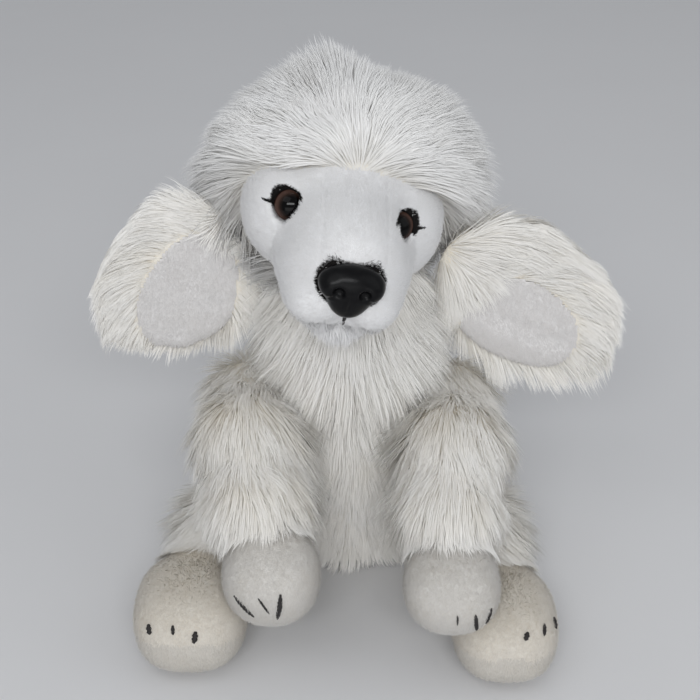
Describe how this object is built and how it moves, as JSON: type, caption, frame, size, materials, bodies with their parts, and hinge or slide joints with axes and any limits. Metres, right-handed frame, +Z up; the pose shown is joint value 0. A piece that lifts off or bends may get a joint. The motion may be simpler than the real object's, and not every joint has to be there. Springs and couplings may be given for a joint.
{
  "type": "plush dog",
  "caption": "Sitting plush dog with long soft fur, a short-pile face, floppy ears, and neck, limbs and tail that turn at their stitched joints.",
  "frame": {"origin": "centre of the flat seat panel that the dog sits on", "axes": "+Z up, the dog faces -Y, and its left side is towards +X"},
  "size_m": [0.2719, 0.2267, 0.3002],
  "materials": {
    "long_fur_ivory": "long soft ivory pile",
    "long_fur_white": "long soft white pile",
    "short_pile_white": "short cool-white pile",
    "short_pile_warm": "short warm-white pile",
    "short_pile_cream": "short cream pile",
    "sole_pile": "short greyish pile",
    "ear_lining_pile": "short pinkish-white pile",
    "stuffing_fibre": "loose polyester fibre",
    "pellet_bag_cloth": "woven inner bag",
    "nose_plastic": "glossy black",
    "eye_plastic": "glossy dark brown",
    "washer_plastic": "plain",
    "black_thread": "stitched thread"
  },
  "bodies": {
    "torso": {"torso_back_panel": "long_fur_ivory", "torso_belly_panel": "long_fur_ivory", "seat_panel": "long_fur_ivory", "torso_stuffing": "stuffing_fibre", "seat_pellet_bag": "pellet_bag_cloth"},
    "neck": {"neck_sleeve": "long_fur_ivory", "neck_stuffing": "stuffing_fibre"},
    "head": {"head_top_gusset": "long_fur_white", "head_side_right": "long_fur_white", "head_side_left": "long_fur_white", "face_gusset": "short_pile_white", "face_cheek_right": "short_pile_white", "face_cheek_left": "short_pile_white", "chin_panel": "short_pile_white", "head_stuffing": "stuffing_fibre", "eye_right": "eye_plastic", "eye_right_washer": "washer_plastic", "eye_left": "eye_plastic", "eye_left_washer": "washer_plastic", "nose": "nose_plastic", "nose_washer": "washer_plastic", "philtrum_stitch": "black_thread", "mouth_stitch": "black_thread"},
    "ear_right": {"ear_right_fur": "long_fur_ivory", "ear_right_lining": "ear_lining_pile"},
    "ear_left": {"ear_left_fur": "long_fur_ivory", "ear_left_lining": "ear_lining_pile"},
    "arm_right": {"arm_right_sleeve": "long_fur_ivory", "arm_right_stuffing": "stuffing_fibre", "paw_right_cover": "short_pile_warm", "paw_right_claw_stitch_1": "black_thread", "paw_right_claw_stitch_2": "black_thread", "paw_right_claw_stitch_3": "black_thread"},
    "arm_left": {"arm_left_sleeve": "long_fur_ivory", "arm_left_stuffing": "stuffing_fibre", "paw_left_cover": "short_pile_warm", "paw_left_claw_stitch_1": "black_thread", "paw_left_claw_stitch_2": "black_thread", "paw_left_claw_stitch_3": "black_thread"},
    "leg_right": {"leg_right_sleeve": "long_fur_ivory", "leg_right_stuffing": "stuffing_fibre", "foot_right_cover": "short_pile_cream", "foot_right_sole": "sole_pile", "foot_right_toe_stitch_1": "black_thread", "foot_right_toe_stitch_2": "black_thread", "foot_right_toe_stitch_3": "black_thread"},
    "leg_left": {"leg_left_sleeve": "long_fur_ivory", "leg_left_stuffing": "stuffing_fibre", "foot_left_cover": "short_pile_cream", "foot_left_sole": "sole_pile", "foot_left_toe_stitch_1": "black_thread", "foot_left_toe_stitch_2": "black_thread", "foot_left_toe_stitch_3": "black_thread"},
    "tail": {"tail_fur": "long_fur_ivory", "tail_stuffing": "stuffing_fibre"}
  },
  "joints": [
    {"name": "neck_turn", "type": "hinge", "parent": "torso", "child": "neck", "pos_m": [0, 0.002, 0.148], "axis": [0, 0, 1], "range_deg": [-12, 12]},
    {"name": "head_nod", "type": "hinge", "parent": "neck", "child": "head", "pos_m": [0, 0.002, 0.184], "axis": [1, 0, 0], "range_deg": [-12, 15]},
    {"name": "ear_right_swing", "type": "hinge", "parent": "head", "child": "ear_right", "pos_m": [-0.06375, -0.00116, 0.21397], "axis": [-0.1901, -0.0166, -0.9816], "range_deg": [-4, 50]},
    {"name": "ear_left_swing", "type": "hinge", "parent": "head", "child": "ear_left", "pos_m": [0.04382, 0.00825, 0.19298], "axis": [0.1901, 0.0166, 0.9816], "range_deg": [-4, 50]},
    {"name": "arm_right_raise", "type": "hinge", "parent": "torso", "child": "arm_right", "pos_m": [-0.058, -0.002, 0.1], "axis": [-1, 0, 0], "range_deg": [0, 28]},
    {"name": "arm_left_raise", "type": "hinge", "parent": "torso", "child": "arm_left", "pos_m": [0.058, -0.002, 0.098], "axis": [-1, 0, 0], "range_deg": [0, 28]},
    {"name": "leg_right_splay", "type": "hinge", "parent": "torso", "child": "leg_right", "pos_m": [-0.045, -0.006, 0.03], "axis": [0, 0, -1], "range_deg": [0, 35]},
    {"name": "leg_left_splay", "type": "hinge", "parent": "torso", "child": "leg_left", "pos_m": [0.045, -0.006, 0.03], "axis": [0, 0, 1], "range_deg": [0, 35]},
    {"name": "tail_wag", "type": "hinge", "parent": "torso", "child": "tail", "pos_m": [0, 0.047, 0.036], "axis": [0, 0, 1], "range_deg": [-25, 25]}
  ]
}
